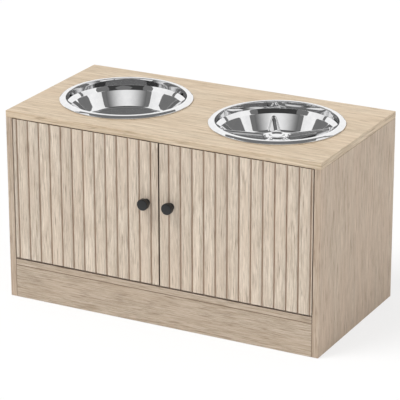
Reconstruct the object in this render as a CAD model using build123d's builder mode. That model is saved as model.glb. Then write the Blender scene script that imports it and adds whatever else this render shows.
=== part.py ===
from build123d import *
import os
from math import cos, radians, sin, tan

# Raised feeding station for a dog: a cupboard of laminated boards with two fluted doors, and two steel
# bowls hung in round holes in its top. Millimetres. The origin is on the floor, half way across and half way
# between the back and the knobs. The doors face -Y, +X is to the right of someone facing the doors, +Z is up.

os.makedirs("parts", exist_ok=True)

# ---- driving dimensions ----
WIDTH = 600.0
DEPTH = 305.0
HEIGHT = 345.0
BOARD = 12.0  # thickness of every laminated board
ARRIS = 0.6  # the sanded corner along each board's edges
PLINTH = 61.0  # height of the plinth board
DOOR_GAP = 1.5  # gap round the doors
MEETING_GAP = 2.5  # gap between the two doors
SIDES = ((-1, "left"), (1, "right"))

# ---- levels and faces that follow from them ----
KNOB_LENGTH = 18.0
FRONT = (KNOB_LENGTH - DEPTH) / 2  # face of the boards; the knobs stand out in front of it
BACK = FRONT + DEPTH
MIDDLE_Y = (FRONT + BACK) / 2
TOP_UNDERSIDE = HEIGHT - BOARD
FLOOR_UNDERSIDE = PLINTH
FLOOR_TOP = PLINTH + BOARD
FLOOR_MIDDLE = PLINTH + BOARD / 2
INSIDE_HALF = WIDTH / 2 - BOARD
SIDE_MIDDLE = WIDTH / 2 - BOARD / 2
DOOR_BOTTOM = FLOOR_TOP + DOOR_GAP
DOOR_TOP = TOP_UNDERSIDE - DOOR_GAP
DOOR_HEIGHT = DOOR_TOP - DOOR_BOTTOM
DOOR_BACK = FRONT + BOARD
DOOR_OUTER = INSIDE_HALF - DOOR_GAP  # the hinged edge, measured from the middle
DOOR_INNER = MEETING_GAP / 2  # the meeting edge
DOOR_WIDTH = DOOR_OUTER - DOOR_INNER

# ---- flutes in the doors ----
FLUTE_PITCH = 21.96
FLUTE_COUNT = 13
FLUTE_MOUTH = 3.4
FLUTE_FLOOR = 0.8
FLUTE_DEPTH = 2.4
# the two doors are cut from one long fluted board, so their first flutes differ
FIRST_FLUTE = {"left": 7.5, "right": 18.2}  # from the door's left edge

# ---- bowls ----
BOWL_X = 146.4
SHEET = 0.8
BAND_RADIUS = 105.8  # inside of the upright band under the rim
RIM_RADIUS = 117.6
RIM_CROWN = 5.4  # top of the rim above the board
RIM_EDGE = 0.8  # bevel on the rim's inner edge
RIM_FLAT_END = 111.0  # where the flat top of the rim starts to roll over
RIM_ROLL_END = 1.2  # height at which the roll ends, just above the board
SEAT_GAP = 0.3
BOWL_HOLE_RADIUS = 108.4
BAND_DEPTH = 8.0
SHOULDER_RADIUS = 99.2
SHOULDER_DEPTH = 15.0
BASE_RADIUS = 83.5
BOWL_DEPTH = 44.5  # inside floor of the bowl below the board's top
BASE_CORNER = 6.0  # how far the rounded corner between floor and wall reaches into each

# ---- pressed ridges of the slow feeder ----
SPOKES = 5
SPOKE_START = 119.0  # degrees from +X to the first ridge
CREST_DEPTH = 20.0  # crest below the board's top
CREST_HALF = 3.6
RIDGE_DRAFT = 17.0  # degrees from upright
CREST_ROUND = 3.2
CREST_BEVEL = 1.4  # on the boss, and on the hollows underneath
BOSS_RADIUS = 20.0
BOSS_RISE = 0.4  # how far the boss stands above the ridges' crests
RIDGE_START = 16.0  # where each ridge begins, inside the boss
DIMPLE_RADIUS = 14.0  # of the shallow dish in the boss
DIMPLE_FLOOR_RADIUS = 9.0
DIMPLE_DEPTH = 2.5

# ---- pivots ----
PIVOT_INSET = 16.0  # pin from the door's hinged edge
PIN_RADIUS = 2.5
PIN_LENGTH = 20.0
PIN_IN_DOOR = 12.0
BUSH_RADIUS = 4.0
BUSH_LENGTH = 8.0
RUNNING_CLEARANCE = 0.05
SLIP_CLEARANCE = 0.1
PIVOT_X = DOOR_OUTER - PIVOT_INSET
PIVOT_Y = FRONT + BOARD / 2

# ---- knobs ----
KNOB_X = 23.2
KNOB_Z = 223.0
KNOB_RADIUS = 10.0
KNOB_FOOT_RADIUS = 6.5
KNOB_WAIST_RADIUS = 5.0
KNOB_FOOT = 2.0  # from the door to the waist
KNOB_WAIST_END = 6.5
KNOB_HEAD_START = 9.0
KNOB_CHAMFER = 1.6
KNOB_SCREW_RADIUS = 2.0
KNOB_SCREW_IN_KNOB = 10.0
KNOB_SCREW_HEAD_RADIUS = 4.2
KNOB_SCREW_HEAD = 2.4

# ---- fasteners of the carcase ----
CAM_RADIUS = 6.0
CAM_HEIGHT = 9.2
CAM_BORE_DEPTH = 9.5
CAM_DISTANCE = 24.0  # cam's middle from the joint
CAM_SLOT_WIDTH = 6.0
CAM_SLOT_END = 3.0  # how far the slot goes past the cam's middle
BOLT_RADIUS = 2.5
BOLT_IN_FACE = 9.0
BOLT_IN_END = 25.5
HOLE_SPARE = 0.4  # how much deeper a blind hole is than what goes into it
CAM_Y = (MIDDLE_Y - 95.0, MIDDLE_Y + 95.0)
DOWEL_RADIUS = 3.0
DOWEL_IN_FACE = 8.0
DOWEL_IN_END = 16.0
PLINTH_DOWEL_Z = (16.0, 45.0)
PLINTH_Y = FRONT + BOARD / 2

# ---- back panel in its grooves ----
BACK_SHEET = 3.0
GROOVE = 3.3
GROOVE_DEPTH = 5.0
GROOVE_PLAY = 0.3
GROOVE_Y = BACK - 12.0  # middle of the groove

# ---- magnetic catch ----
CATCH_WIDTH = 46.0
CATCH_DEPTH = 15.0
CATCH_HEIGHT = 17.0
CATCH_EAR = 11.0
CATCH_EAR_THICK = 3.0
CATCH_CHAMFER = 1.5
MAGNET_X = 13.0
MAGNET_WIDTH = 14.0
MAGNET_HEIGHT = 5.0
MAGNET_DEPTH = 10.0
POLE_THICK = 1.4
POLE_PROUD = 0.5
STRIKE_THICK = 1.2
STRIKE_WIDTH = 18.0
STRIKE_HEIGHT = 13.0
STRIKE_Z = 323.5
POLE_TO_STRIKE = 0.4  # gap between the closed door's plate and the pole plates
CATCH_FRONT = DOOR_BACK + STRIKE_THICK + POLE_TO_STRIKE + POLE_PROUD
CATCH_SCREW_RADIUS = 1.5
CATCH_SCREW_IN_BOARD = 8.0
CATCH_SCREW_HEAD_RADIUS = 3.0
CATCH_SCREW_HEAD = 1.8
STRIKE_SCREW_HEAD_RADIUS = 2.6
STRIKE_SCREW_IN_DOOR = 8.0
CATCH_SCREW_X = CATCH_WIDTH / 2 + CATCH_EAR / 2


def along_y(x, y, z):
    """A plane at a point with its normal along +Y."""
    return Plane(origin=(x, y, z), x_dir=(-1, 0, 0), z_dir=(0, 1, 0))


def facing(x, y, z, direction):
    """A plane at a point with its normal along a given axis direction."""
    across = (0, 0, 1) if direction[2] == 0 else (1, 0, 0)
    return Plane(origin=(x, y, z), x_dir=across, z_dir=direction)


# ---- carcase boards ----
with BuildPart() as top_panel:
    with BuildSketch(Plane.XY.offset(TOP_UNDERSIDE)):
        with Locations((0, MIDDLE_Y)):
            Rectangle(WIDTH, DEPTH)
    extrude(amount=BOARD)
    chamfer(top_panel.edges(), ARRIS)
    with BuildSketch(Plane.XY.offset(TOP_UNDERSIDE)):
        with Locations((-BOWL_X, MIDDLE_Y), (BOWL_X, MIDDLE_Y)):
            Circle(BOWL_HOLE_RADIUS)
    extrude(amount=BOARD, mode=Mode.SUBTRACT)
    # groove for the back panel, stopped inside the side panels
    with BuildSketch(Plane.XY.offset(TOP_UNDERSIDE)):
        with Locations((0, GROOVE_Y)):
            Rectangle(2 * (INSIDE_HALF + GROOVE_DEPTH), GROOVE)
    extrude(amount=GROOVE_DEPTH, mode=Mode.SUBTRACT)
    # blind holes in the underside: bolts, pivot bushes and catch screws
    with BuildSketch(Plane.XY.offset(TOP_UNDERSIDE)):
        for side, _ in SIDES:
            with Locations(*[(side * SIDE_MIDDLE, y) for y in CAM_Y]):
                Circle(BOLT_RADIUS)
    extrude(amount=BOLT_IN_FACE + HOLE_SPARE, mode=Mode.SUBTRACT)
    with BuildSketch(Plane.XY.offset(TOP_UNDERSIDE)):
        for side, _ in SIDES:
            with Locations((side * PIVOT_X, PIVOT_Y)):
                Circle(BUSH_RADIUS)
    extrude(amount=BUSH_LENGTH + HOLE_SPARE, mode=Mode.SUBTRACT)
    with BuildSketch(Plane.XY.offset(TOP_UNDERSIDE)):
        with Locations(*[(side * CATCH_SCREW_X, CATCH_FRONT + CATCH_DEPTH / 2) for side, _ in SIDES]):
            Circle(CATCH_SCREW_RADIUS)
    extrude(amount=CATCH_SCREW_IN_BOARD + HOLE_SPARE, mode=Mode.SUBTRACT)
top_panel.part.label = "top_panel"
export_step(top_panel.part, "parts/top_panel.step")

for side, name in SIDES:
    inner_face = side * INSIDE_HALF
    outward = (side, 0, 0)
    with BuildPart() as side_panel:
        with BuildSketch(Plane.XY):
            with Locations((side * SIDE_MIDDLE, MIDDLE_Y)):
                Rectangle(BOARD, DEPTH)
        extrude(amount=TOP_UNDERSIDE)
        chamfer(side_panel.edges(), ARRIS)
        # groove for the back panel, from below the cupboard's floor to the top edge
        with BuildSketch(facing(inner_face, GROOVE_Y, 0, outward)):
            with Locations(((FLOOR_TOP - GROOVE_DEPTH + TOP_UNDERSIDE) / 2, 0)):
                Rectangle(TOP_UNDERSIDE - FLOOR_TOP + GROOVE_DEPTH, GROOVE)
        extrude(amount=GROOVE_DEPTH, mode=Mode.SUBTRACT)
        # cam bores in the inner face near the top, with the bolt holes down into them
        with BuildSketch(facing(inner_face, 0, 0, outward)):
            with Locations(*[(TOP_UNDERSIDE - CAM_DISTANCE, -side * y) for y in CAM_Y]):
                Circle(CAM_RADIUS + SLIP_CLEARANCE)
        extrude(amount=CAM_BORE_DEPTH, mode=Mode.SUBTRACT)
        with BuildSketch(Plane.XY.offset(TOP_UNDERSIDE)):
            with Locations(*[(side * SIDE_MIDDLE, y) for y in CAM_Y]):
                Circle(BOLT_RADIUS + SLIP_CLEARANCE)
        extrude(amount=-CAM_DISTANCE, mode=Mode.SUBTRACT)
        # holes in the inner face for the floor's bolts and the plinth's dowels
        with BuildSketch(facing(inner_face, 0, 0, outward)):
            with Locations(*[(FLOOR_MIDDLE, -side * y) for y in CAM_Y]):
                Circle(BOLT_RADIUS)
        extrude(amount=BOLT_IN_FACE + HOLE_SPARE, mode=Mode.SUBTRACT)
        with BuildSketch(facing(inner_face, 0, 0, outward)):
            with Locations(*[(z, -side * PLINTH_Y) for z in PLINTH_DOWEL_Z]):
                Circle(DOWEL_RADIUS + SLIP_CLEARANCE)
        extrude(amount=DOWEL_IN_FACE + HOLE_SPARE, mode=Mode.SUBTRACT)
    side_panel.part.label = f"{name}_side_panel"
    export_step(side_panel.part, f"parts/{name}_side_panel.step")

with BuildPart() as bottom_panel:
    with BuildSketch(Plane.XY.offset(FLOOR_UNDERSIDE)):
        with Locations((0, MIDDLE_Y)):
            Rectangle(2 * INSIDE_HALF, DEPTH)
    extrude(amount=BOARD)
    chamfer(bottom_panel.edges(), ARRIS)
    with BuildSketch(Plane.XY.offset(FLOOR_TOP)):
        with Locations((0, GROOVE_Y)):
            Rectangle(2 * INSIDE_HALF, GROOVE)
    extrude(amount=-GROOVE_DEPTH, mode=Mode.SUBTRACT)
    with BuildSketch(Plane.XY.offset(FLOOR_TOP)):
        for side, _ in SIDES:
            with Locations((side * PIVOT_X, PIVOT_Y)):
                Circle(BUSH_RADIUS)
    extrude(amount=-(BUSH_LENGTH + HOLE_SPARE), mode=Mode.SUBTRACT)
    # cam bores in the underside, with the bolt holes in the ends
    with BuildSketch(Plane.XY.offset(FLOOR_UNDERSIDE)):
        for side, _ in SIDES:
            with Locations(*[(side * (INSIDE_HALF - CAM_DISTANCE), y) for y in CAM_Y]):
                Circle(CAM_RADIUS + SLIP_CLEARANCE)
    extrude(amount=CAM_BORE_DEPTH, mode=Mode.SUBTRACT)
    for side, _ in SIDES:
        inward = (-side, 0, 0)
        with BuildSketch(facing(side * INSIDE_HALF, 0, FLOOR_MIDDLE, inward)):
            with Locations(*[(0, side * y) for y in CAM_Y]):
                Circle(BOLT_RADIUS + SLIP_CLEARANCE)
        extrude(amount=CAM_DISTANCE, mode=Mode.SUBTRACT)
bottom_panel.part.label = "bottom_panel"
export_step(bottom_panel.part, "parts/bottom_panel.step")

with BuildPart() as plinth_board:
    with BuildSketch(Plane.XY):
        with Locations((0, PLINTH_Y)):
            Rectangle(2 * INSIDE_HALF, BOARD)
    extrude(amount=PLINTH)
    chamfer(plinth_board.edges(), ARRIS)
    for side, _ in SIDES:
        with BuildSketch(facing(side * INSIDE_HALF, PLINTH_Y, 0, (-side, 0, 0))):
            with Locations(*[(z, 0) for z in PLINTH_DOWEL_Z]):
                Circle(DOWEL_RADIUS + SLIP_CLEARANCE)
        extrude(amount=DOWEL_IN_END + HOLE_SPARE, mode=Mode.SUBTRACT)
plinth_board.part.label = "plinth_board"
export_step(plinth_board.part, "parts/plinth_board.step")

with BuildPart() as back_panel:
    with BuildSketch(Plane.XY.offset(FLOOR_TOP - GROOVE_DEPTH + GROOVE_PLAY)):
        with Locations((0, GROOVE_Y)):
            Rectangle(2 * (INSIDE_HALF + GROOVE_DEPTH - GROOVE_PLAY), BACK_SHEET)
    extrude(amount=TOP_UNDERSIDE - FLOOR_TOP + 2 * (GROOVE_DEPTH - GROOVE_PLAY))
back_panel.part.label = "back_panel"
export_step(back_panel.part, "parts/back_panel.step")

# ---- doors ----
for side, name in SIDES:
    left_edge = min(side * DOOR_OUTER, side * DOOR_INNER)
    with BuildPart() as door:
        with BuildSketch(Plane.XY.offset(DOOR_BOTTOM)):
            with Locations((side * (DOOR_OUTER + DOOR_INNER) / 2, PIVOT_Y)):
                Rectangle(DOOR_WIDTH, BOARD)
        extrude(amount=DOOR_HEIGHT)
        chamfer(door.edges(), ARRIS)
        with BuildSketch(Plane.XY.offset(DOOR_BOTTOM)):
            for i in range(FLUTE_COUNT):
                with Locations((left_edge + FIRST_FLUTE[name] + i * FLUTE_PITCH, FRONT)):
                    Polygon(
                        (-FLUTE_MOUTH / 2, 0),
                        (FLUTE_MOUTH / 2, 0),
                        (FLUTE_FLOOR / 2, FLUTE_DEPTH),
                        (-FLUTE_FLOOR / 2, FLUTE_DEPTH),
                        align=None,
                    )
        extrude(amount=DOOR_HEIGHT, mode=Mode.SUBTRACT)
        # pivot holes in the bottom and top edges
        with BuildSketch(Plane.XY.offset(DOOR_BOTTOM)):
            with Locations((side * PIVOT_X, PIVOT_Y)):
                Circle(PIN_RADIUS)
        extrude(amount=PIN_IN_DOOR + HOLE_SPARE, mode=Mode.SUBTRACT)
        with BuildSketch(Plane.XY.offset(DOOR_TOP)):
            with Locations((side * PIVOT_X, PIVOT_Y)):
                Circle(PIN_RADIUS)
        extrude(amount=-(PIN_IN_DOOR + HOLE_SPARE), mode=Mode.SUBTRACT)
        # through hole for the knob's screw, and a pilot hole for the strike plate's screw
        with BuildSketch(along_y(side * KNOB_X, FRONT, KNOB_Z)):
            Circle(KNOB_SCREW_RADIUS + SLIP_CLEARANCE)
        extrude(amount=BOARD, mode=Mode.SUBTRACT)
        with BuildSketch(along_y(side * MAGNET_X, DOOR_BACK, STRIKE_Z)):
            Circle(CATCH_SCREW_RADIUS)
        extrude(amount=-(STRIKE_SCREW_IN_DOOR + HOLE_SPARE), mode=Mode.SUBTRACT)
    door.part.label = f"{name}_door"
    export_step(door.part, f"parts/{name}_door.step")

# ---- knobs and their screws ----
for side, name in SIDES:
    with BuildPart() as knob:
        # half section: X is the radius, and the knob stands out along -Y from a foot on the door
        with BuildSketch(Plane(origin=(side * KNOB_X, FRONT, KNOB_Z), z_dir=(0, 0, 1))):
            Polygon(
                (0, 0),
                (KNOB_FOOT_RADIUS, 0),
                (KNOB_WAIST_RADIUS, -KNOB_FOOT),
                (KNOB_WAIST_RADIUS, -KNOB_WAIST_END),
                (KNOB_RADIUS, -KNOB_HEAD_START),
                (KNOB_RADIUS, -KNOB_LENGTH + KNOB_CHAMFER),
                (KNOB_RADIUS - KNOB_CHAMFER, -KNOB_LENGTH),
                (0, -KNOB_LENGTH),
                align=None,
            )
        revolve(axis=Axis((side * KNOB_X, FRONT, KNOB_Z), (0, 1, 0)))
        with BuildSketch(along_y(side * KNOB_X, FRONT, KNOB_Z)):
            Circle(KNOB_SCREW_RADIUS)
        extrude(amount=-(KNOB_SCREW_IN_KNOB + HOLE_SPARE), mode=Mode.SUBTRACT)
    knob.part.label = f"{name}_knob"
    export_step(knob.part, f"parts/{name}_knob.step")

    with BuildPart() as knob_screw:
        with BuildSketch(along_y(side * KNOB_X, DOOR_BACK, KNOB_Z)):
            Circle(KNOB_SCREW_RADIUS)
        extrude(amount=-(BOARD + KNOB_SCREW_IN_KNOB))
        with BuildSketch(along_y(side * KNOB_X, DOOR_BACK, KNOB_Z)):
            Circle(KNOB_SCREW_HEAD_RADIUS)
        extrude(amount=KNOB_SCREW_HEAD)
    knob_screw.part.label = f"{name}_knob_screw"
    export_step(knob_screw.part, f"parts/{name}_knob_screw.step")

# ---- pivot pins, pressed into the doors, and the bushes that they turn in ----
for side, name in SIDES:
    with BuildPart() as pivot_pins:
        for edge_z, into_door in ((DOOR_BOTTOM, 1), (DOOR_TOP, -1)):
            with BuildSketch(Plane.XY.offset(edge_z + into_door * PIN_IN_DOOR)):
                with Locations((side * PIVOT_X, PIVOT_Y)):
                    Circle(PIN_RADIUS)
            extrude(amount=-into_door * PIN_LENGTH)
    pivot_pins.part.label = f"{name}_pivot_pins"
    export_step(pivot_pins.part, f"parts/{name}_pivot_pins.step")

for name, face_z, out_of_board in (("bottom", FLOOR_TOP, 1), ("top", TOP_UNDERSIDE, -1)):
    with BuildPart() as pivot_bushes:
        with BuildSketch(Plane.XY.offset(face_z)):
            with Locations(*[(side * PIVOT_X, PIVOT_Y) for side, _ in SIDES]):
                Circle(BUSH_RADIUS)
                Circle(PIN_RADIUS + RUNNING_CLEARANCE, mode=Mode.SUBTRACT)
        extrude(amount=-out_of_board * BUSH_LENGTH)
    pivot_bushes.part.label = f"{name}_pivot_bushes"
    export_step(pivot_bushes.part, f"parts/{name}_pivot_bushes.step")

# ---- magnetic catch under the top panel ----
CATCH_MIDDLE_Y = CATCH_FRONT + CATCH_DEPTH / 2
CATCH_BOTTOM = TOP_UNDERSIDE - CATCH_HEIGHT
POCKET_HEIGHT = MAGNET_HEIGHT + 2 * POLE_THICK
with BuildPart() as catch_housing:
    with BuildSketch(Plane.XY.offset(CATCH_BOTTOM)):
        with Locations((0, CATCH_MIDDLE_Y)):
            Rectangle(CATCH_WIDTH, CATCH_DEPTH)
    extrude(amount=CATCH_HEIGHT)
    chamfer(catch_housing.edges().group_by(Axis.Z)[0], CATCH_CHAMFER)
    with BuildSketch(Plane.XY.offset(TOP_UNDERSIDE)):
        with Locations((0, CATCH_MIDDLE_Y)):
            Rectangle(CATCH_WIDTH + 2 * CATCH_EAR, CATCH_EAR)
    extrude(amount=-CATCH_EAR_THICK)
    with BuildSketch(Plane.XY.offset(TOP_UNDERSIDE)):
        with Locations(*[(side * CATCH_SCREW_X, CATCH_MIDDLE_Y) for side, _ in SIDES]):
            Circle(CATCH_SCREW_RADIUS + SLIP_CLEARANCE)
    extrude(amount=-CATCH_EAR_THICK, mode=Mode.SUBTRACT)
    # pockets for the magnets, open towards the doors
    with BuildSketch(along_y(0, CATCH_FRONT, STRIKE_Z)):
        with Locations((-MAGNET_X, 0), (MAGNET_X, 0)):
            Rectangle(MAGNET_WIDTH + 2 * SLIP_CLEARANCE, POCKET_HEIGHT + 2 * SLIP_CLEARANCE)
    extrude(amount=MAGNET_DEPTH + SLIP_CLEARANCE, mode=Mode.SUBTRACT)
catch_housing.part.label = "catch_housing"
export_step(catch_housing.part, "parts/catch_housing.step")

with BuildPart() as catch_magnets:
    with BuildSketch(along_y(0, CATCH_FRONT, STRIKE_Z)):
        with Locations((-MAGNET_X, 0), (MAGNET_X, 0)):
            Rectangle(MAGNET_WIDTH, MAGNET_HEIGHT)
    extrude(amount=MAGNET_DEPTH)
catch_magnets.part.label = "catch_magnets"
export_step(catch_magnets.part, "parts/catch_magnets.step")

with BuildPart() as catch_pole_plates:
    with BuildSketch(along_y(0, CATCH_FRONT - POLE_PROUD, STRIKE_Z)):
        for step in (-1, 1):
            rise = step * (MAGNET_HEIGHT + POLE_THICK) / 2
            with Locations((-MAGNET_X, rise), (MAGNET_X, rise)):
                Rectangle(MAGNET_WIDTH, POLE_THICK)
    extrude(amount=MAGNET_DEPTH + POLE_PROUD)
catch_pole_plates.part.label = "catch_pole_plates"
export_step(catch_pole_plates.part, "parts/catch_pole_plates.step")

with BuildPart() as catch_screws:
    spots = [(side * CATCH_SCREW_X, CATCH_MIDDLE_Y) for side, _ in SIDES]
    with BuildSketch(Plane.XY.offset(TOP_UNDERSIDE - CATCH_EAR_THICK)):
        with Locations(*spots):
            Circle(CATCH_SCREW_RADIUS)
    extrude(amount=CATCH_EAR_THICK + CATCH_SCREW_IN_BOARD)
    with BuildSketch(Plane.XY.offset(TOP_UNDERSIDE - CATCH_EAR_THICK)):
        with Locations(*spots):
            Circle(CATCH_SCREW_HEAD_RADIUS)
    extrude(amount=-CATCH_SCREW_HEAD)
catch_screws.part.label = "catch_screws"
export_step(catch_screws.part, "parts/catch_screws.step")

for side, name in SIDES:
    with BuildPart() as strike_plate:
        with BuildSketch(along_y(side * MAGNET_X, DOOR_BACK, STRIKE_Z)):
            Rectangle(STRIKE_WIDTH, STRIKE_HEIGHT)
        extrude(amount=STRIKE_THICK)
        # countersink for the screw's head
        with Locations(along_y(side * MAGNET_X, DOOR_BACK + STRIKE_THICK, STRIKE_Z)):
            CounterSinkHole(CATCH_SCREW_RADIUS + SLIP_CLEARANCE, STRIKE_SCREW_HEAD_RADIUS, counter_sink_angle=90)
    strike_plate.part.label = f"{name}_strike_plate"
    export_step(strike_plate.part, f"parts/{name}_strike_plate.step")

    with BuildPart() as strike_screw:
        with BuildSketch(Plane(origin=(side * MAGNET_X, DOOR_BACK, STRIKE_Z), z_dir=(0, 0, 1))):
            head_radius = STRIKE_SCREW_HEAD_RADIUS - SLIP_CLEARANCE
            Polygon(
                (0, STRIKE_THICK),
                (head_radius, STRIKE_THICK),
                (CATCH_SCREW_RADIUS, STRIKE_THICK - (head_radius - CATCH_SCREW_RADIUS)),
                (CATCH_SCREW_RADIUS, -STRIKE_SCREW_IN_DOOR),
                (0, -STRIKE_SCREW_IN_DOOR),
                align=None,
            )
        revolve(axis=Axis((side * MAGNET_X, DOOR_BACK, STRIKE_Z), (0, 1, 0)))
    strike_screw.part.label = f"{name}_strike_screw"
    export_step(strike_screw.part, f"parts/{name}_strike_screw.step")

# ---- cam bolts and locks, and the plinth's dowels: where each joint is, and the way from the face into the end ----
cam_joints = []
dowel_joints = []
for side, _ in SIDES:
    for y in CAM_Y:
        cam_joints.append(((side * SIDE_MIDDLE, y, TOP_UNDERSIDE), (0, 0, -1), (side, 0, 0)))
        cam_joints.append(((side * INSIDE_HALF, y, FLOOR_MIDDLE), (-side, 0, 0), (0, 0, 1)))
    for z in PLINTH_DOWEL_Z:
        dowel_joints.append(((side * INSIDE_HALF, PLINTH_Y, z), (-side, 0, 0)))

with BuildPart() as cam_bolts:
    for joint, into, _ in cam_joints:
        with BuildSketch(facing(*joint, into).offset(-BOLT_IN_FACE)):
            Circle(BOLT_RADIUS)
        extrude(amount=BOLT_IN_FACE + BOLT_IN_END)
cam_bolts.part.label = "cam_bolts"
export_step(cam_bolts.part, "parts/cam_bolts.step")

with BuildPart() as cam_locks:
    for joint, into, bore in cam_joints:
        # each cam stands in its bore, across the bolt, and is slotted on the side that the bolt comes from
        middle = Vector(*joint) + Vector(*into) * CAM_DISTANCE
        mouth = middle - Vector(*bore) * (BOARD / 2)
        seat = Plane(origin=mouth, x_dir=into, z_dir=bore)
        with BuildSketch(seat.offset(CAM_BORE_DEPTH - CAM_HEIGHT - SLIP_CLEARANCE)):
            Circle(CAM_RADIUS)
        extrude(amount=CAM_HEIGHT)
        slot_length = CAM_RADIUS + CAM_SLOT_END
        with BuildSketch(seat.offset(BOARD / 2 - CAM_SLOT_WIDTH / 2)):
            with Locations((CAM_SLOT_END - slot_length / 2, 0)):
                Rectangle(slot_length, CAM_SLOT_WIDTH)
        extrude(amount=CAM_HEIGHT, mode=Mode.SUBTRACT)
cam_locks.part.label = "cam_locks"
export_step(cam_locks.part, "parts/cam_locks.step")

with BuildPart() as wooden_dowels:
    for joint, into in dowel_joints:
        with BuildSketch(facing(*joint, into).offset(-DOWEL_IN_FACE)):
            Circle(DOWEL_RADIUS)
        extrude(amount=DOWEL_IN_FACE + DOWEL_IN_END)
wooden_dowels.part.label = "wooden_dowels"
export_step(wooden_dowels.part, "parts/wooden_dowels.step")

# ---- bowls ----
# A bowl's inner side, radius and height above the board: floor, turned-up corner, wall, shoulder and band.
WALL_SLOPE = (SHOULDER_RADIUS - BASE_RADIUS) / (BOWL_DEPTH - SHOULDER_DEPTH)
BOWL_SECTION = (
    (0, -BOWL_DEPTH),
    (BASE_RADIUS - BASE_CORNER, -BOWL_DEPTH),
    (BASE_RADIUS, -BOWL_DEPTH + BASE_CORNER / 4),
    (BASE_RADIUS + WALL_SLOPE * BASE_CORNER, -BOWL_DEPTH + BASE_CORNER),
    (SHOULDER_RADIUS, -SHOULDER_DEPTH),
    (BAND_RADIUS, -BAND_DEPTH),
    (BAND_RADIUS, 0),
)


def bowl_sheet():
    """The bowl without ridges: a section of the sheet, with the rim rolled outwards, turned round its axis."""
    with BuildPart() as sheet:
        with BuildSketch(Plane.XZ):
            with BuildLine():
                Polyline(*BOWL_SECTION)
                offset(amount=SHEET, side=Side.RIGHT, kind=Kind.INTERSECTION)
            make_face()
            with BuildLine():
                Polyline(
                    (RIM_RADIUS, RIM_ROLL_END),
                    (RIM_RADIUS, SEAT_GAP),
                    (RIM_RADIUS - SHEET, SEAT_GAP),
                    (RIM_RADIUS - SHEET, RIM_ROLL_END),
                    (RIM_FLAT_END + SHEET, RIM_CROWN - SHEET),
                    (BAND_RADIUS + SHEET, RIM_CROWN - SHEET),
                    (BAND_RADIUS + SHEET, 0),
                    (BAND_RADIUS, 0),
                    (BAND_RADIUS, RIM_CROWN - RIM_EDGE),
                    (BAND_RADIUS + RIM_EDGE, RIM_CROWN),
                    (RIM_FLAT_END, RIM_CROWN),
                )
                TangentArc((RIM_FLAT_END, RIM_CROWN), (RIM_RADIUS, RIM_ROLL_END), tangent=(1, 0))
            make_face()
        revolve(axis=Axis.Z)
    return sheet.part


def bowl_room(spare, foot):
    """The room inside a bowl below its shoulder, wider all round by spare and straight down to foot."""
    with BuildPart() as room:
        with BuildSketch(Plane.XZ):
            Polygon(
                (0, foot),
                (BASE_RADIUS - BASE_CORNER + spare, foot),
                (BASE_RADIUS - BASE_CORNER + spare, -BOWL_DEPTH),
                (BASE_RADIUS + spare, -BOWL_DEPTH + BASE_CORNER / 4),
                (BASE_RADIUS + WALL_SLOPE * BASE_CORNER + spare, -BOWL_DEPTH + BASE_CORNER),
                (SHOULDER_RADIUS + spare, -SHOULDER_DEPTH),
                (0, -SHOULDER_DEPTH),
                align=None,
            )
        revolve(axis=Axis.Z)
    return room.part


def ridges(inset, foot, ease):
    """Ridges and the boss they meet at, as solids down to foot whose faces stand inset inside the outer ones.

    ease is what takes the corners off the ridges' crests: fillet, or chamfer where nobody looks.
    """
    crest = -CREST_DEPTH - inset
    slope = tan(radians(RIDGE_DRAFT))
    half = CREST_HALF - inset / cos(radians(RIDGE_DRAFT))
    spread = slope * (crest - foot)
    boss = BOSS_RADIUS - inset / cos(radians(RIDGE_DRAFT))
    boss_top = crest + BOSS_RISE
    corner = CREST_ROUND if ease == fillet else CREST_BEVEL
    with BuildPart() as star:
        for i in range(SPOKES):
            angle = radians(SPOKE_START + i * 360 / SPOKES)
            outwards = Vector(cos(angle), sin(angle), 0)
            start = Plane(origin=outwards * RIDGE_START, x_dir=(-sin(angle), cos(angle), 0), z_dir=outwards)
            with BuildSketch(start) as section:
                Polygon((half, crest), (half + spread, foot), (-half - spread, foot), (-half, crest), align=None)
                ease(section.vertices().group_by(Axis.Y)[-1], corner)
            extrude(amount=BAND_RADIUS - RIDGE_START)
        with BuildSketch(Plane.XZ) as section:
            Polygon((0, boss_top), (boss, boss_top), (boss + spread, foot), (0, foot), align=None)
            chamfer(section.vertices().group_by(Axis.Y)[-1].sort_by(Axis.X)[-1], CREST_BEVEL)
        revolve(axis=Axis.Z)
        # a shallow dish pressed back down into the boss
        with BuildSketch(Plane.XZ):
            Polygon(
                (0, boss_top),
                (DIMPLE_RADIUS + inset, boss_top),
                (DIMPLE_FLOOR_RADIUS + inset, boss_top - DIMPLE_DEPTH),
                (0, boss_top - DIMPLE_DEPTH),
                align=None,
            )
        revolve(axis=Axis.Z, mode=Mode.SUBTRACT)
    return star.part


with BuildPart() as plain_bowl:
    with Locations((-BOWL_X, MIDDLE_Y, HEIGHT)):
        add(bowl_sheet())
plain_bowl.part.label = "plain_bowl"
export_step(plain_bowl.part, "parts/plain_bowl.step")

# The ridges are pressed up from the floor, so each has its hollow underneath. Outside, they end within the sheet.
IN_SHEET = -BOWL_DEPTH - SHEET / 2
BELOW_SHEET = -BOWL_DEPTH - 2 * SHEET
with BuildPart() as ridge_skin:
    add(ridges(0, IN_SHEET, fillet))
    add(bowl_room(SHEET / 2, IN_SHEET), mode=Mode.INTERSECT)
with BuildPart() as ridge_hollow:
    add(ridges(SHEET, BELOW_SHEET, chamfer))
    add(bowl_room(0, BELOW_SHEET), mode=Mode.INTERSECT)
with BuildPart() as pressed_bowl:
    add(bowl_sheet())
    add(ridge_skin.part)
    add(ridge_hollow.part, mode=Mode.SUBTRACT)
with BuildPart() as slow_feeder_bowl:
    with Locations((BOWL_X, MIDDLE_Y, HEIGHT)):
        add(pressed_bowl.part)
slow_feeder_bowl.part.label = "slow_feeder_bowl"
export_step(slow_feeder_bowl.part, "parts/slow_feeder_bowl.step")
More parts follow.
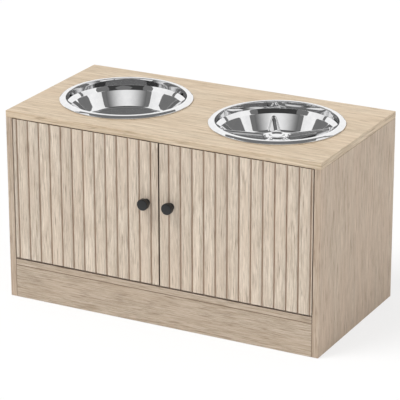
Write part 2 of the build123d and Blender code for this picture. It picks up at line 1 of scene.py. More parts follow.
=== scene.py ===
"""Looks of a raised feeding station for a dog: an oak-laminate cupboard with two fluted doors and two
polished steel bowls hung in its top. Metres, +Z up, the doors face -Y and the floor is z = 0."""

from math import cos, pi, radians, sin, tan

import bpy
import numpy as np
from mathutils import Matrix, Vector


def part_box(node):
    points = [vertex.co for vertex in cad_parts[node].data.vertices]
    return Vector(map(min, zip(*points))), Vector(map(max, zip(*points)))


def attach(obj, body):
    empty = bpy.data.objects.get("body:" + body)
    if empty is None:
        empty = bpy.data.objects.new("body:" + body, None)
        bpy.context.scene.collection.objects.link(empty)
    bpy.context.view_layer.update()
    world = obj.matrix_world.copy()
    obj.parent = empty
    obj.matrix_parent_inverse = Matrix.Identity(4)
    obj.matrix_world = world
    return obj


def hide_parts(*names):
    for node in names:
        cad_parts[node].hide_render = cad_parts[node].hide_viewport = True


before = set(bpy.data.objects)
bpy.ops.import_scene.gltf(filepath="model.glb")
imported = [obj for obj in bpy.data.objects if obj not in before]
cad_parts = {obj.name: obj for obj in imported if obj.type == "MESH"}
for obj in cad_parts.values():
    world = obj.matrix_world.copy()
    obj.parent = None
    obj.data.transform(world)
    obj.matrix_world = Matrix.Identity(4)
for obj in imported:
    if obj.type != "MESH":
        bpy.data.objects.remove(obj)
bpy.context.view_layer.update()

MM = 0.001

# ---- the object's own sizes, in millimetres ----
HEIGHT = 345.0
SHEET = 0.8
BAND_RADIUS = 105.8
RIM_RADIUS = 117.6
RIM_CROWN = 5.4
RIM_ROLL = 112.8  # where the rim's flat top meets the slope of its roll
RIM_FOOT = 2.0
SEAT_GAP = 0.3
BAND_DEPTH = 8.0
SHOULDER_RADIUS = 99.2
SHOULDER_DEPTH = 15.0
BASE_RADIUS = 83.5
BOWL_DEPTH = 44.5

SPOKES = 5
SPOKE_START = 119.0  # degrees from +X to the first ridge
CREST_DEPTH = 20.0
CREST_HALF = 3.2
RIDGE_DRAFT = 17.0  # degrees from upright
BOSS_RADIUS = 20.0
DIMPLE_RADIUS = 14.0
DIMPLE_DEPTH = 2.5
DIMPLE_SLOPE = 5.0  # width of the S between the dimple's floor and its edge
CREST_BLEND = 1.6  # how far flat tops and flanks run into each other
BOSS_BLEND = 5.0  # the same for the ridges and the boss
FLOOR_BLEND = 2.0  # the same for the ridges and the floor

KNOB_LENGTH = 18.0
KNOB_RADIUS = 10.0
KNOB_FOOT_RADIUS = 6.5
KNOB_WAIST_RADIUS = 5.0

FLUTE_PITCH = 21.96
FIRST_FLUTE = {"left": 7.5, "right": 18.2}  # from the door's left edge
SHADE_LINE_WIDTH = 0.9  # the width of a line of painted shade along a board's front edges, in its gaps and joints

# ---- how finely the turned pieces are divided ----
PLAIN_BOWL_STEPS = 256
RIDGED_BOWL_STEPS = 270
KNOB_STEPS = 96
PLAIN_RING_STEP = 6.0  # the longest run between two rings, in millimetres
RIDGED_RING_STEP = 1.4
CROWDING = 0.6  # 0 for even steps round the ridged bowl, towards 1 for steps crowded at its ridges



def middle(node_name):
    """The middle of a CAD node's box, in millimetres."""
    low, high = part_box(node_name)
    return (np.array(low) + np.array(high)) / 2 / MM


# ---------------------------------------------------------------- shapes


def rounded(corners, radii, arc_steps=8):
    """A line through corners with each one rounded: an arc that touches both of its sides.

    An arc of radius r starts r * tan(half the turn) before the corner, and its centre lies r to the
    inside of the turn.
    """
    points = [np.array(corners[0], float)]
    for i in range(1, len(corners) - 1):
        before, here, after = (np.array(corners[j], float) for j in (i - 1, i, i + 1))
        into = (here - before) / np.linalg.norm(here - before)
        out = (after - here) / np.linalg.norm(after - here)
        turn = np.arctan2(into[0] * out[1] - into[1] * out[0], into @ out)
        if radii[i - 1] == 0 or abs(turn) < 1e-6:
            points.append(here)
            continue
        reach = radii[i - 1] * tan(abs(turn) / 2)
        centre = here - into * reach + np.sign(turn) * radii[i - 1] * np.array([-into[1], into[0]])
        start = here - into * reach - centre
        angles = np.linspace(0, turn, arc_steps + 1)
        spin = np.stack([np.cos(angles), -np.sin(angles), np.sin(angles), np.cos(angles)], 1)
        points.extend(centre + spin.reshape(-1, 2, 2) @ start)
    points.append(np.array(corners[-1], float))
    return np.array(points)


def spaced(line, step):
    """The same line with points added on its long runs, so that none is longer than step."""
    pieces = []
    for start, end in zip(line[:-1], line[1:]):
        count = max(1, int(np.ceil(np.linalg.norm(end - start) / step)))
        pieces.append(start + (end - start) * np.linspace(0, 1, count, endpoint=False)[:, None])
    return np.vstack(pieces + [line[-1:]])


def turned_mesh(name, rings, start_pole, end_pole=None):
    """A surface whose rings, an array of rings x steps x 3 in millimetres, close round an axis.

    Each ring is joined to the next by quads, and a pole is one point joined to its ring by triangles.
    """
    count, steps, _ = rings.shape
    vertices = rings.reshape(-1, 3)
    first = np.arange(steps)
    following = (first + 1) % steps
    row = np.arange(count - 1)[:, None] * steps
    quads = np.stack([row + first, row + following, row + steps + following, row + steps + first], -1)
    faces = quads.reshape(-1, 4).tolist()
    vertices = np.vstack([vertices, [start_pole]])
    pole = len(vertices) - 1
    faces += np.stack([np.full(steps, pole), following, first], -1).tolist()
    if end_pole is not None:
        vertices = np.vstack([vertices, [end_pole]])
        last = (count - 1) * steps
        faces += np.stack([np.full(steps, pole + 1), last + first, last + following], -1).tolist()
    mesh = bpy.data.meshes.new(name)
    mesh.from_pydata((vertices * MM).tolist(), [], faces)
    mesh.shade_smooth()
    mesh.update()
    made = bpy.data.objects.new(name, mesh)
    bpy.context.scene.collection.objects.link(made)
    return made


# The bowl's inner side from the floor to the rolled rim, as radius and height above the board.
INNER_LINE = rounded(
    [
        (3.0, -BOWL_DEPTH),
        (BASE_RADIUS, -BOWL_DEPTH),
        (SHOULDER_RADIUS, -SHOULDER_DEPTH),
        (BAND_RADIUS, -BAND_DEPTH),
        (BAND_RADIUS, RIM_CROWN),
        (RIM_ROLL, RIM_CROWN),
        (RIM_RADIUS, RIM_FOOT),
        (RIM_RADIUS, SEAT_GAP),
    ],
    [7.9, 2.3, 0.5, 1.3, 8.0, 1.6],
)


def bowl_height(radius, angle, base):
    """Height of the pressed floor: the plain bowl's, or the ridges' where they stand above it.

    A ridge's height is its crest's, less the distance outside its flat top divided by the tangent of the
    draft. The boss is the same round the middle. Flat top and flank, ridge and boss, and ridges and floor
    run into each other through smooth maxima, (a + b + sqrt((a - b)^2 + k^2)) / 2.
    """
    crest = -CREST_DEPTH
    steepness = 1 / tan(radians(RIDGE_DRAFT))
    sector = 2 * pi / SPOKES
    off_spoke = (angle - radians(SPOKE_START) + sector / 2) % sector - sector / 2
    beside = radius * np.abs(np.sin(off_spoke)) - CREST_HALF
    outside_boss = radius - BOSS_RADIUS
    ridge_drop = smooth_max(beside, 0.0, CREST_BLEND) * steepness
    boss_drop = smooth_max(outside_boss, 0.0, CREST_BLEND) * steepness
    drop = -smooth_max(-ridge_drop, -boss_drop, BOSS_BLEND)
    dish = DIMPLE_DEPTH * smooth_step((DIMPLE_RADIUS - radius) / DIMPLE_SLOPE)
    return smooth_max(base, crest - np.maximum(drop, 0) - dish, FLOOR_BLEND)


def smooth_max(a, b, k):
    """The larger of a and b, rounded over k where they cross."""
    return (a + b + np.sqrt((a - b) ** 2 + k * k)) / 2


def smooth_step(x):
    """0 below 0 and 1 above 1, with an S between."""
    x = np.clip(x, 0, 1)
    return x * x * (3 - 2 * x)


def pressed_bowl(name, centre, ridged, steps):
    """A bowl's inner side turned round its axis, thickened outwards to the sheet by Solidify.

    The angles run clockwise, so that the faces look into the bowl. Those of a ridged bowl crowd towards
    its ridges: the spacing is 1 - CROWDING * cos(SPOKES * (u - start)).
    """
    line = spaced(INNER_LINE, RIDGED_RING_STEP if ridged else PLAIN_RING_STEP)
    turn = np.linspace(0, -2 * pi, steps, endpoint=False)
    if ridged:
        turn = turn - CROWDING * np.sin(SPOKES * (turn - radians(SPOKE_START))) / SPOKES
    radius = line[:, :1] * np.ones(steps)
    height = line[:, 1:] * np.ones(steps)
    if ridged:
        below = line[:, 1] < -SHOULDER_DEPTH
        height[below] = bowl_height(radius[below], turn[None, :], height[below])
    rings = np.stack([radius * np.cos(turn), radius * np.sin(turn), height], -1)
    rings += np.array([centre[0], centre[1], HEIGHT])
    pole_height = -CREST_DEPTH - DIMPLE_DEPTH if ridged else -BOWL_DEPTH
    made = turned_mesh(name, rings, (centre[0], centre[1], HEIGHT + pole_height))
    wall = made.modifiers.new("sheet", "SOLIDIFY")
    wall.thickness = SHEET * MM
    wall.offset = -1
    return made


def turned_knob(name, centre_x, centre_z, front):
    """A knob turned about -Y: foot, hollowed neck, a rolled shoulder and a slightly domed face."""
    line = rounded(
        [
            (KNOB_FOOT_RADIUS, 0),
            (KNOB_FOOT_RADIUS, 1.4),
            (KNOB_WAIST_RADIUS, 3.6),
            (KNOB_WAIST_RADIUS + 0.4, 7.2),
            (KNOB_RADIUS, 9.4),
            (KNOB_RADIUS, KNOB_LENGTH - 0.5),
            (2.0, KNOB_LENGTH),
        ],
        [0.5, 2.0, 1.8, 1.2, 1.5],
    )
    turn = np.linspace(0, 2 * pi, KNOB_STEPS, endpoint=False)
    across = centre_x + line[:, :1] * np.cos(turn)
    along = front - line[:, 1:] * np.ones(KNOB_STEPS)
    upward = centre_z + line[:, :1] * np.sin(turn)
    foot = (centre_x, front, centre_z)
    face = (centre_x, front - KNOB_LENGTH, centre_z)
    return turned_mesh(name, np.stack([across, along, upward], -1), foot, face)


# ---------------------------------------------------------------- materials


def colour(hex_code):
    """A linear colour from an sRGB hex code."""
    channels = [int(hex_code[i : i + 2], 16) / 255 for i in (1, 3, 5)]
    return (*[c / 12.92 if c <= 0.04045 else ((c + 0.055) / 1.055) ** 2.4 for c in channels], 1)


def node(tree, kind, inputs, **settings):
    """Adds a node with its settings. Each input is a value, a socket, or a node, whose first live output is
    then linked."""
    made = tree.nodes.new("ShaderNode" + kind)
    for key, value in settings.items():
        setattr(made, key, value)
    for key, value in inputs.items():
        if isinstance(value, bpy.types.Node):
            value = next(socket for socket in value.outputs if socket.enabled)
        if isinstance(value, bpy.types.NodeSocket):
            tree.links.new(value, made.inputs[key])
        else:
            made.inputs[key].default_value = value
    return made


def new_material(name):
    """An empty material and its node tree."""
    material = bpy.data.materials.new(name)
    material.use_nodes = True
    material.node_tree.nodes.clear()
    return material, material.node_tree


def finish_material(tree, **inputs):
    """The material's Principled shader and its output."""
    shader = node(tree, "BsdfPrincipled", {key.replace("_", " "): value for key, value in inputs.items()})
    node(tree, "OutputMaterial", {"Surface": shader})


# a Mix node's inputs: the first and second of its numbers, of its vectors and of its colours
NUMBER_A, NUMBER_B, VECTOR_A, VECTOR_B, COLOUR_A, COLOUR_B = range(2, 8)
# the brown of a board's core; on the doors' edges it is also painted shade in the gaps round them
CORE_AND_GAP_SHADE = "#5C4839"


def along_the_grain(tree, where, order, end_order, seed):
    """The place on a board as along, across and through its grain, moved by seed so that no two match.

    Faces that look along X take end_order instead, if it is given.
    """
    axes = node(tree, "SeparateXYZ", {"Vector": where["Object"]}).outputs
    place = node(tree, "CombineXYZ", {i: axes[axis] for i, axis in enumerate(order)})
    if end_order:
        turned = node(tree, "CombineXYZ", {i: axes[axis] for i, axis in enumerate(end_order)})
        facing = node(tree, "SeparateXYZ", {"Vector": where["Normal"]}).outputs["X"]
        sideways = node(tree, "Math", {0: facing}, operation="ABSOLUTE")
        on_end = node(tree, "Math", {0: sideways, 1: 0.8}, operation="GREATER_THAN")
        place = node(tree, "Mix", {0: on_end, VECTOR_A: place, VECTOR_B: turned}, data_type="VECTOR")
    return node(tree, "VectorMath", {0: place, 1: (seed, seed * 0.7, seed * 1.3)}, operation="ADD")


def drawn_out(tree, place, length, width, detail, roughness):
    """Noise drawn out along the grain: its marks are about length by width, in millimetres."""
    scale = (1 / (length * MM), 1 / (width * MM), 1 / (width * MM))
    stretched = node(tree, "VectorMath", {0: place, 1: scale}, operation="MULTIPLY")
    grit = {"Scale": 1.0, "Detail": detail, "Roughness": roughness}
    return node(tree, "TexNoise", {"Vector": stretched, **grit})


def oak_print(tree, place, tones, marks):
    """Printed flat-sawn oak: its colour, and its streaks from 0 to 1."""
    # nested arches: contour lines of a broad noise, about a finger apart
    rings = node(tree, "Math", {0: drawn_out(tree, place, 420, 60, 1.5, 0.45), 1: 60.0}, operation="MULTIPLY")
    waves = node(tree, "Math", {0: rings}, operation="SINE")
    arches = node(tree, "MapRange", {"Value": waves, "From Min": -1.0, "From Max": 1.0})
    fine = drawn_out(tree, place, *marks, 4.0, 0.8)
    streaks = node(tree, "MapRange", {"Value": fine, "From Min": 0.36, "From Max": 0.64})
    figure = node(tree, "Mix", {0: 0.86, NUMBER_A: arches, NUMBER_B: streaks})
    pore = drawn_out(tree, place, 34, 2.2, 2.0, 0.6)
    pores = node(tree, "MapRange", {"Value": pore, "From Min": 0.55, "From Max": 0.70, "To Max": 0.5})
    patch = drawn_out(tree, place, 190, 34, 2.0, 0.5)
    patches = node(tree, "MapRange", {"Value": patch, "From Min": 0.35, "From Max": 0.65, "To Max": 0.45})
    light, mid, dark, blush = (colour(tone) for tone in tones)
    base = node(tree, "Mix", {0: figure, COLOUR_A: mid, COLOUR_B: light}, data_type="RGBA")
    warm = node(tree, "Mix", {0: patches, COLOUR_A: base, COLOUR_B: blush}, data_type="RGBA")
    return node(tree, "Mix", {0: pores, COLOUR_A: warm, COLOUR_B: dark}, data_type="RGBA"), streaks


def painted_front_edge_shade(tree, where, shown, brightness):
    """Faces that look forward, the edge strips, show the same print, its tone times brightness: painted
    shade, which evens out how the lamps light them against the board's other faces.
    """
    forward = node(tree, "SeparateXYZ", {"Vector": where["Normal"]}).outputs["Y"]
    on_strip = node(tree, "Math", {0: forward, 1: -0.5}, operation="LESS_THAN")
    tone = node(tree, "MapRange", {"Value": on_strip, "To Min": 1.0, "To Max": brightness})
    return node(tree, "VectorMath", {0: shown, "Scale": tone}, operation="SCALE")


def painted_seam_shade(tree, where, shown, high, shade_colour):
    """On the front, a line of painted shade at both ends and along the top of a board, whose high corner is
    given, as wide as the width given at the top: the shade of the gap under the doors and of the joints round
    it."""
    axes = node(tree, "SeparateXYZ", {"Vector": where["Object"]}).outputs
    reach = node(tree, "Math", {0: axes["X"]}, operation="ABSOLUTE")
    at_end = node(tree, "Math", {0: reach, 1: high[0] - SHADE_LINE_WIDTH * MM}, operation="GREATER_THAN")
    at_top = node(tree, "Math", {0: axes["Z"], 1: high[2] - SHADE_LINE_WIDTH * MM}, operation="GREATER_THAN")
    forward = node(tree, "SeparateXYZ", {"Vector": where["Normal"]}).outputs["Y"]
    at_front = node(tree, "Math", {0: forward, 1: -0.5}, operation="LESS_THAN")
    at_edge = node(tree, "Math", {0: at_end, 1: at_top}, operation="MAXIMUM")
    shade_line = node(tree, "Math", {0: at_edge, 1: at_front}, operation="MULTIPLY")
    return node(tree, "Mix", {0: shade_line, COLOUR_A: shown, COLOUR_B: colour(shade_colour)}, data_type="RGBA")


def fluted_front(tree, where, shown, first_flute):
    """On the front, each slat between two flutes has its own tone and darkens over its last third, a painted
    shade of the flute's slope beside it, and the flutes are painted brown as shade in the grooves."""
    across = node(tree, "SeparateXYZ", {"Vector": where["Object"]}).outputs["X"]
    limits = {"From Min": first_flute, "From Max": first_flute + FLUTE_PITCH * MM}
    steps = node(tree, "MapRange", {"Value": across, **limits}, clamp=False)
    slat = node(tree, "Math", {0: steps}, operation="FLOOR")
    own = node(tree, "TexWhiteNoise", {"W": slat}, noise_dimensions="1D")
    own_tone = node(tree, "MapRange", {"Value": own, "To Min": 0.97, "To Max": 1.06})
    within = node(tree, "Math", {0: steps}, operation="FRACT")
    # painted shade: each slat darkens towards the next flute, as the flute's slope would in the light
    painted_shade_last_third = {"From Min": 0.62, "From Max": 0.93, "To Min": 1.0, "To Max": 0.85}
    shade = node(tree, "MapRange", {"Value": within, **painted_shade_last_third})
    factor = node(tree, "Math", {0: shade, 1: own_tone}, operation="MULTIPLY")
    slats = node(tree, "VectorMath", {0: shown, "Scale": factor}, operation="SCALE")
    aside = node(tree, "Math", {0: within, 1: 0.5}, operation="SUBTRACT")
    from_middle = node(tree, "Math", {0: aside}, operation="ABSOLUTE")
    beside_flute = {"From Min": 0.43, "From Max": 0.48, "To Max": 0.5}
    in_flute = node(tree, "MapRange", {"Value": from_middle, **beside_flute})
    # the flutes' brown is painted shade in the grooves
    brown = colour("#A47F68")
    fluted = node(tree, "Mix", {0: in_flute, COLOUR_A: slats, COLOUR_B: brown}, data_type="RGBA")
    forward = node(tree, "SeparateXYZ", {"Vector": where["Normal"]}).outputs["Y"]
    on_front = node(tree, "Math", {0: forward, 1: -0.1}, operation="LESS_THAN")
    return node(tree, "Mix", {0: on_front, COLOUR_A: shown, COLOUR_B: fluted}, data_type="RGBA")


def gap_shaded_edges(tree, where, shown):
    """A door's edges show the brown board inside, painted there also as shade in the gaps round the door."""
    facing = node(tree, "SeparateXYZ", {"Vector": where["Normal"]}).outputs
    beside = node(tree, "Math", {0: facing["X"]}, operation="ABSOLUTE")
    over = node(tree, "Math", {0: facing["Z"]}, operation="ABSOLUTE")
    edge = node(tree, "Math", {0: beside, 1: over}, operation="MAXIMUM")
    on_edge = node(tree, "Math", {0: edge, 1: 0.95}, operation="GREATER_THAN")
    return node(tree, "Mix", {0: on_edge, COLOUR_A: shown, COLOUR_B: colour(CORE_AND_GAP_SHADE)}, data_type="RGBA")


def oak_laminate(
    name, order, tones, seed, marks=(110, 2.8), end_order=None, strip=None, seams=None, flutes=None
):
    """Board covered in matt oak-print laminate: pale tan with long fine streaks, darker pores and the nested
    arches of flat-sawn oak. It is printed paper under resin, so it has barely any relief or gloss.

    order names the axes along, across and through the board's grain, and end_order the same for faces that
    look along X. tones are its light, middle, dark and reddish colours, and marks the length and width of its
    streaks. strip is how bright the front edges are beside the faces, a painted shade. seams is the board's
    high corner and the colour of the line of painted shade along its edges. flutes is where a door's first
    flute lies along X; with it the door gets painted shade on its slats and in its flutes, and brown edges
    that are also painted shade in its gaps.
    """
    material, tree = new_material(name)
    where = node(tree, "TexCoord", {}).outputs
    place = along_the_grain(tree, where, order, end_order, seed)
    shown, streaks = oak_print(tree, place, tones, marks)
    # painted shade on the front edges
    if strip:
        shown = painted_front_edge_shade(tree, where, shown, strip)
    if seams:
        shown = painted_seam_shade(tree, where, shown, *seams)
    if flutes:
        shown = gap_shaded_edges(tree, where, fluted_front(tree, where, shown, flutes))
    gloss = node(tree, "MapRange", {"Value": streaks, "To Min": 0.62, "To Max": 0.52})
    relief = node(tree, "Bump", {"Height": streaks, "Strength": 0.25, "Distance": 0.12 * MM})
    finish_material(tree, Base_Color=shown, Roughness=gloss, Normal=relief, Specular_IOR_Level=0.35)
    return material


def flecked(name, light, dark, mark, relief, roughness, metallic=0.0):
    """A plain material with a fleck: noise of the mark size in millimetres moves its colour between light and
    dark, its roughness between two values and its surface up and down by relief millimetres."""
    material, tree = new_material(name)
    place = node(tree, "TexCoord", {}).outputs["Object"]
    scale = 1 / (mark * MM)
    fleck = node(tree, "TexNoise", {"Vector": place, "Scale": scale, "Detail": 3.0, "Roughness": 0.6})
    fleck_range = {"Value": fleck, "From Min": 0.3, "From Max": 0.7}
    share = node(tree, "MapRange", fleck_range)
    tint = node(tree, "Mix", {0: share, COLOUR_A: colour(dark), COLOUR_B: colour(light)}, data_type="RGBA")
    gloss = node(tree, "MapRange", {**fleck_range, "To Min": roughness[0], "To Max": roughness[1]})
    bump = node(tree, "Bump", {"Height": fleck, "Strength": 0.3, "Distance": relief * MM})
    finish_material(tree, Base_Color=tint, Roughness=gloss, Metallic=metallic, Normal=bump)
    return material


def give(material, *names):
    """Puts one material on the CAD nodes or pieces named."""
    for name in names:
        target = bpy.data.objects[name]
        target.data.materials.clear()
        target.data.materials.append(material)


# ---- bowls ----
plain = pressed_bowl("plain_bowl_pressing", middle("plain_bowl"), False, PLAIN_BOWL_STEPS)
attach(plain, "left_bowl")
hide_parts("plain_bowl")

ridged = pressed_bowl("slow_feeder_pressing", middle("slow_feeder_bowl"), True, RIDGED_BOWL_STEPS)
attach(ridged, "right_bowl")
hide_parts("slow_feeder_bowl")

# polished stainless steel: a near mirror, with the faint ripple that spinning and pressing leave
steel = flecked("polished_stainless_steel", "#F4F4F4", "#EDEDEE", 9.0, 0.003, (0.02, 0.04), metallic=1.0)
give(steel, plain.name, ridged.name)

# ---- knobs ----
# black enamel on zinc, satin, with a slight orange peel
black_enamel = flecked("satin_black_enamel", "#1B1B1C", "#121213", 1.4, 0.02, (0.30, 0.40))
for side in ("left", "right"):
    low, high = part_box(f"{side}_knob")
    spot = middle(f"{side}_knob")
    knob = turned_knob(f"{side}_turned_knob", spot[0], spot[2], high[1] / MM)
    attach(knob, f"{side}_door")
    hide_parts(f"{side}_knob")
    give(black_enamel, knob.name)

# ---- boards ----
# one oak print in four tone sets, each made lighter or darker for how the lamps light its pieces, which is
# painted light: the side panels' set is lighter to make up for the right one lying out of the key lamp, and
# the plinth's set, also on the bottom board, is darker against the light the plinth catches from the floor
TOP_TONES = ("#E4D3BB", "#B5A084", "#8A7358", "#D7BFA3")
FRONT_TONES = ("#E5D9C9", "#AD9C89", "#705C4A", "#D3C1AE")
SIDE_TONES = ("#DACAB7", "#A58F79", "#7D6652", "#CBB49F")
PLINTH_TONES = ("#CDBEAD", "#93816B", "#695742", "#BAA793")
FINE_MARKS = (42, 1.5)
top = oak_laminate("oak_laminate_top", "XYZ", TOP_TONES, 3.1, end_order="YXZ", strip=0.96)
give(top, "top_panel")
# lines of painted shade on the fronts: under the doors on the bottom board, and in the plinth's joints
floor_gap_shade = (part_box("bottom_panel")[1], "#3F3026")
bottom = oak_laminate("oak_laminate_floor", "XYZ", PLINTH_TONES, 7.7, FINE_MARKS, seams=floor_gap_shade)
give(bottom, "bottom_panel")
plinth_joint_shade = (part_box("plinth_board")[1], "#7D6A58")
plinth = oak_laminate("oak_laminate_plinth", "XZY", PLINTH_TONES, 12.3, FINE_MARKS, seams=plinth_joint_shade)
give(plinth, "plinth_board")
for side, seed in (("left", 17.9), ("right", 23.3)):
    panel = oak_laminate(f"oak_laminate_{side}_side", "ZYX", SIDE_TONES, seed, (70, 2.0), strip=0.87)
    give(panel, f"{side}_side_panel")
    first_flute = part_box(f"{side}_door")[0][0] + FIRST_FLUTE[side] * MM
    name = f"oak_laminate_{side}_door"
    give(oak_laminate(name, "ZXY", FRONT_TONES, seed + 9, FINE_MARKS, flutes=first_flute), f"{side}_door")

# ---- hidden pieces ----
# pressed hardboard: felted brown fibres, smooth on the face
give(flecked("hardboard", "#C9B397", "#B59D80", 2.5, 0.05, (0.7, 0.8)), "back_panel")
# injection-moulded nylon: off-white, waxy
nylon = flecked("moulded_nylon", "#E6E5E0", "#DCDBD5", 1.2, 0.01, (0.38, 0.5))
give(nylon, "catch_housing", "top_pivot_bushes", "bottom_pivot_bushes")
# sintered ferrite: charcoal, slightly gritty
give(flecked("sintered_ferrite", "#3A3A3C", "#2A2A2C", 0.5, 0.02, (0.55, 0.7)), "catch_magnets")
# bright zinc plating: bluish silver with a fine crystalline cloud
zinc_plate = flecked("bright_zinc_plate", "#C9CCCE", "#AEB2B5", 0.9, 0.01, (0.22, 0.38), metallic=1.0)
give(
    zinc_plate,
    "catch_pole_plates",
    "left_strike_plate",
    "right_strike_plate",
    "cam_bolts",
    "left_pivot_pins",
    "right_pivot_pins",
    "left_knob_screw",
    "right_knob_screw",
    "catch_screws",
    "left_strike_screw",
    "right_strike_screw",
)
# die-cast zinc: duller and greyer than plating
give(flecked("die_cast_zinc", "#A8AAAB", "#8C8F91", 1.5, 0.03, (0.42, 0.58), metallic=1.0), "cam_locks")
# turned beech: pinkish tan with short dark flecks
give(flecked("turned_beech", "#D9B98F", "#C7A276", 1.8, 0.03, (0.55, 0.68)), "wooden_dowels")

# ---------------------------------------------------------------- studio

WHITE = (1, 1, 1, 1)
SQUARE = ((-1, -1), (1, -1), (1, 1), (-1, 1))
FLOOR_LEVEL = -0.2 * MM  # just under the boards, so that no two faces share a plane
ROOM_FOOT = -0.5  # the room's walls go on below the floor
OWN_WHITE = 0.72  # the share of the floor's look that no shadow reaches
CARD_DISTANCE = 3.5
CARD_STEP = 0.03  # each card stands this much in front of the one before
CARD_CELL = 6  # degrees that one facet of a card covers, at most
CAMERA_AT = (1.769478, -3.369053, 1.591077)
CAMERA_AZIMUTH = radians(27.663)
CAMERA_ELEVATION = radians(20.296)
CAMERA_ROLL = radians(-0.105)
CAMERA_LENS = 209.25


def seen_ray(tree):
    """1 for rays from the camera, a mirror or glass, and 0 for light that falls on things."""
    path = node(tree, "LightPath", {}).outputs
    mirrored = node(tree, "Math", {0: path["Is Camera Ray"], 1: path["Is Glossy Ray"]}, operation="MAXIMUM")
    return node(tree, "Math", {0: mirrored, 1: path["Is Transmission Ray"]}, operation="MAXIMUM")


def white_studio(sky_strength):
    """The world: plain white to the eye, and a dimmer white as light."""
    world = bpy.data.worlds.new("white_studio")
    bpy.context.scene.world = world
    world.use_nodes = True
    world.cycles.sampling_method = "NONE"
    tree = world.node_tree
    tree.nodes.clear()
    strength = node(tree, "MapRange", {"Value": seen_ray(tree), "To Min": sky_strength, "To Max": 1.0})
    sky = node(tree, "Background", {"Color": WHITE, "Strength": strength})
    node(tree, "OutputWorld", {"Surface": sky})


def unlit(name, middle_tone, edge_tone):
    """A grey that no light changes, 0 for black and 1 for white.

    It runs from middle_tone, half way across the UV's width, to edge_tone at both sides as (1 - d^2)^1.5,
    d being the way from the middle to the side.
    """
    material, tree = new_material(name)
    laid_out = node(tree, "TexCoord", {}).outputs["UV"]
    across = node(tree, "SeparateXYZ", {"Vector": laid_out}).outputs["X"]
    aside = node(tree, "Math", {0: across, 1: 2.0, 2: -1.0}, operation="MULTIPLY_ADD")
    squared = node(tree, "Math", {0: aside, 1: aside}, operation="MULTIPLY")
    left = node(tree, "Math", {0: 1.0, 1: squared}, operation="SUBTRACT", use_clamp=True)
    middle_share = node(tree, "Math", {0: left, 1: 1.5}, operation="POWER")
    tone = node(tree, "MapRange", {"Value": middle_share, "To Min": edge_tone, "To Max": middle_tone})
    glow = node(tree, "Emission", {"Color": WHITE, "Strength": tone})
    node(tree, "OutputMaterial", {"Surface": glow})
    return material


def only_in_the_steel(name, corners, faces, middle_tone, edge_tone, spread):
    """A stage piece that mirrors show, and that neither the camera nor the light meets. spread is how far
    across the piece each corner lies, from 0 to 1."""
    mesh = bpy.data.meshes.new(name)
    mesh.from_pydata([tuple(corner) for corner in corners], [], faces)
    laid_out = mesh.uv_layers.new(name="across").data
    for loop in mesh.loops:
        laid_out[loop.index].uv = (spread[loop.vertex_index], 0)
    mesh.materials.append(unlit(f"{name}_grey", middle_tone, edge_tone))
    made = bpy.data.objects.new(name, mesh)
    for ray in ("camera", "diffuse", "shadow", "transmission", "volume_scatter"):
        setattr(made, f"visible_{ray}", False)
    bpy.context.scene.collection.objects.link(made)


def studio_room(half_width, height, tone):
    """The walls and ceiling that the steel mirrors."""
    low = [(x * half_width, y * half_width, ROOM_FOOT) for x, y in SQUARE]
    high = [(x, y, height) for x, y, _ in low]
    faces = [(0, 1, 5, 4), (1, 2, 6, 5), (2, 3, 7, 6), (3, 0, 4, 7), (4, 5, 6, 7)]
    only_in_the_steel("studio_room", low + high, faces, tone, tone, [0] * 8)


def studio_card(name, azimuths, elevations, middle_tone, edge_tone, away):
    """A curved card that the steel mirrors, given by the degrees that it covers as seen from the bowls.

    Azimuth 0 is the way from the bowls to the camera, and 90 is to the right of someone who faces the doors
    from there. The card lies on a ball of radius away, in metres, round the point over the origin at the
    height of the cupboard's top.
    """
    columns = int((azimuths[1] - azimuths[0]) / CARD_CELL) + 2
    rows = int((elevations[1] - elevations[0]) / CARD_CELL) + 2
    turns = np.radians(np.linspace(*azimuths, columns)) + CAMERA_AZIMUTH
    turn, rise = np.meshgrid(turns, np.radians(np.linspace(*elevations, rows)))
    corners = np.stack([np.sin(turn) * np.cos(rise), -np.cos(turn) * np.cos(rise), np.sin(rise)], -1)
    corners = corners.reshape(-1, 3) * away + np.array([0, 0, HEIGHT * MM])
    first = (np.arange(rows - 1)[:, None] * columns + np.arange(columns - 1)).reshape(-1)
    faces = np.stack([first, first + 1, first + columns + 1, first + columns], -1).tolist()
    spread = np.tile(np.linspace(0, 1, columns), rows)
    only_in_the_steel(name, corners.tolist(), faces, middle_tone, edge_tone, spread)


def pale_floor(half_width):
    """A white floor that keeps a light shadow: part of what the eye sees of it is its own even white."""
    mesh = bpy.data.meshes.new("floor")
    corners = [(x * half_width, y * half_width, FLOOR_LEVEL) for x, y in SQUARE]
    mesh.from_pydata(corners, [], [(0, 1, 2, 3)])
    floor = bpy.data.objects.new("floor", mesh)
    bpy.context.scene.collection.objects.link(floor)
    material, tree = new_material("studio_floor")
    lit = node(tree, "BsdfDiffuse", {"Color": (0.95, 0.95, 0.95, 1)})
    even = node(tree, "Emission", {"Color": WHITE, "Strength": 1.0})
    share = node(tree, "Math", {0: seen_ray(tree), 1: OWN_WHITE}, operation="MULTIPLY")
    surface = node(tree, "MixShader", {0: share, 1: lit, 2: even})
    node(tree, "OutputMaterial", {"Surface": surface})
    mesh.materials.append(material)


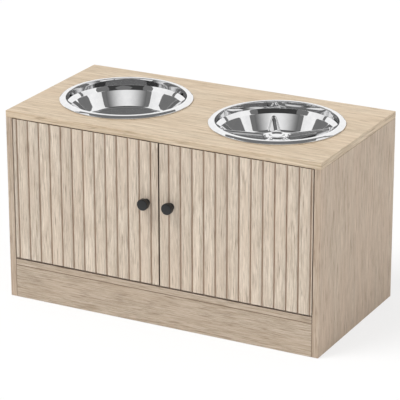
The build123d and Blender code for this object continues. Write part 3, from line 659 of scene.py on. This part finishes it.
def soft_lamp(name, direction, strength, spread):
    """A broad lamp far away: light from direction, blurred over spread degrees, not seen in the steel."""
    data = bpy.data.lights.new(name, "SUN")
    data.energy = strength
    data.angle = radians(spread)
    lamp = bpy.data.objects.new(name, data)
    lamp.rotation_euler = Vector(direction).to_track_quat("Z", "Y").to_euler()
    lamp.visible_glossy = False
    bpy.context.scene.collection.objects.link(lamp)


white_studio(0.55)
pale_floor(4.0)
studio_room(5.0, 5.0, 0.18)
# what the steel mirrors: a white wall behind, softboxes and a dark flag, the same on both sides of the
# camera; a softbox is brighter in its middle
CARDS = (
    ("back_wall", (125, 235), (0, 45), 1.0, 1.0),
    ("left_softbox", (-120, -60), (25, 55), 1.0, 0.9),
    ("right_softbox", (60, 120), (25, 55), 1.0, 0.9),
    ("front_softbox", (-50, 50), (25, 50), 0.9, 0.15),
    ("front_flag", (-60, 60), (52, 70), 0.05, 0.05),
)
for place, (name, azimuths, elevations, middle_tone, edge_tone) in enumerate(CARDS):
    studio_card(name, azimuths, elevations, middle_tone, edge_tone, CARD_DISTANCE - CARD_STEP * place)
soft_lamp("key_lamp", (-0.42, -0.46, 1.0), 1.90, 28)
soft_lamp("fill_lamp", (0.9, -0.5, 0.35), 0.35, 50)

# ---- camera ----
level = Vector((cos(CAMERA_AZIMUTH), sin(CAMERA_AZIMUTH), 0))
outward = Vector((sin(CAMERA_AZIMUTH), -cos(CAMERA_AZIMUTH), 0))
back = outward * cos(CAMERA_ELEVATION) + Vector((0, 0, sin(CAMERA_ELEVATION)))
upright = back.cross(level)
across = level * cos(CAMERA_ROLL) + upright * sin(CAMERA_ROLL)
up = upright * cos(CAMERA_ROLL) - level * sin(CAMERA_ROLL)
camera_data = bpy.data.cameras.new("camera")
camera_data.lens = CAMERA_LENS
camera_data.sensor_width = 36.0
camera_data.clip_start = 0.1
camera_data.clip_end = 50.0
camera = bpy.data.objects.new("camera", camera_data)
camera.matrix_world = Matrix.Translation(CAMERA_AT) @ Matrix((across, up, back)).transposed().to_4x4()
bpy.context.scene.collection.objects.link(camera)
bpy.context.scene.camera = camera
bpy.context.scene.view_settings.view_transform = "Standard"
